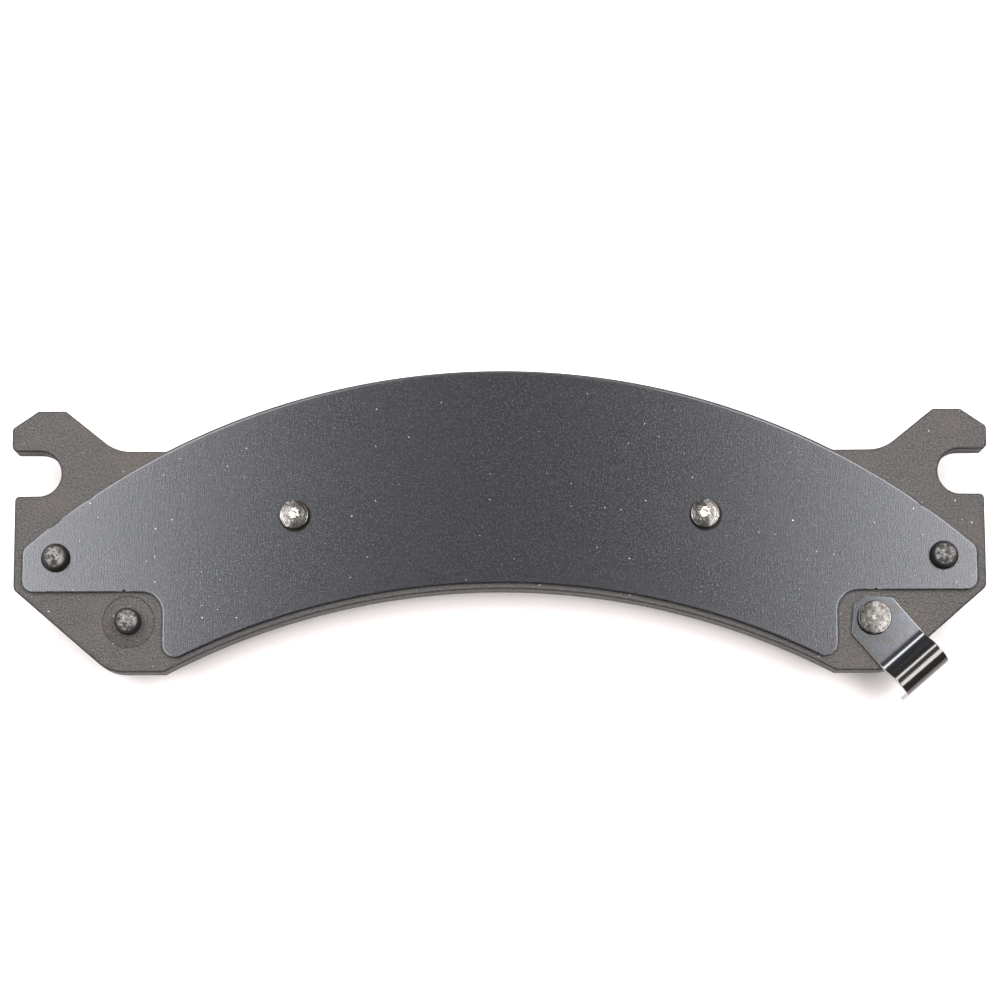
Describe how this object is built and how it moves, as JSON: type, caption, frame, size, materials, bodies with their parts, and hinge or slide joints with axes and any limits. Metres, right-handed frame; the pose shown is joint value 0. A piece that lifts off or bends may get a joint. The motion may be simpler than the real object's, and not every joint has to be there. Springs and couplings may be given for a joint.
{
  "type": "disc brake pad",
  "caption": "Arched disc brake pad: slotted steel backing plate, moulded friction lining, riveted noise shim and a sprung wear indicator.",
  "frame": {"origin": "on the wear face, on the symmetry line, level with the middle of the two ear slots", "axes": "+X along the pad's length, +Y away from the wheel's centre, +Z from the disc towards the piston"},
  "size_m": [0.204, 0.0692, 0.0215],
  "materials": {
    "powder_coated_steel": "fine-textured grey powder coat, slightly glossy",
    "bonding_adhesive": "cured phenolic adhesive film",
    "underlayer_compound": "dense moulded fibre and resin, fine grained",
    "friction_compound": "ground semi-metallic lining with visible metal and mineral grains",
    "shim_adhesive_film": "pressure-sensitive adhesive",
    "shim_rubber_inner": "thin smooth rubber coat",
    "shim_steel": "cold-rolled steel sheet with sheared edges",
    "shim_rubber_coat": "blue-grey satin rubber coat with a fine roller grain",
    "rivet_steel": "bright steel, orbitally formed head with swirl marks",
    "blued_spring_steel": "polished spring steel, oil-blued"
  },
  "bodies": {
    "pad": {"backing_plate": "powder_coated_steel", "bonding_film": "bonding_adhesive", "underlayer": "underlayer_compound", "friction_block": "friction_compound", "shim_adhesive": "shim_adhesive_film", "shim_inner_rubber": "shim_rubber_inner", "shim_steel_core": "shim_steel", "shim_outer_rubber": "shim_rubber_coat", "shim_rivet_left": "rivet_steel", "shim_rivet_right": "rivet_steel", "indicator_rivet": "rivet_steel"},
    "indicator_tongue": {"wear_indicator": "blued_spring_steel"}
  },
  "joints": [
    {"name": "indicator_flex", "type": "hinge", "parent": "pad", "child": "indicator_tongue", "pos_m": [0.0828, -0.03698, 0.01795], "axis": [-0.7604, -0.6494, 0], "range_deg": [0, 4], "stiffness_Nm_per_rad": 8, "deforming": ["wear_indicator"]}
  ]
}
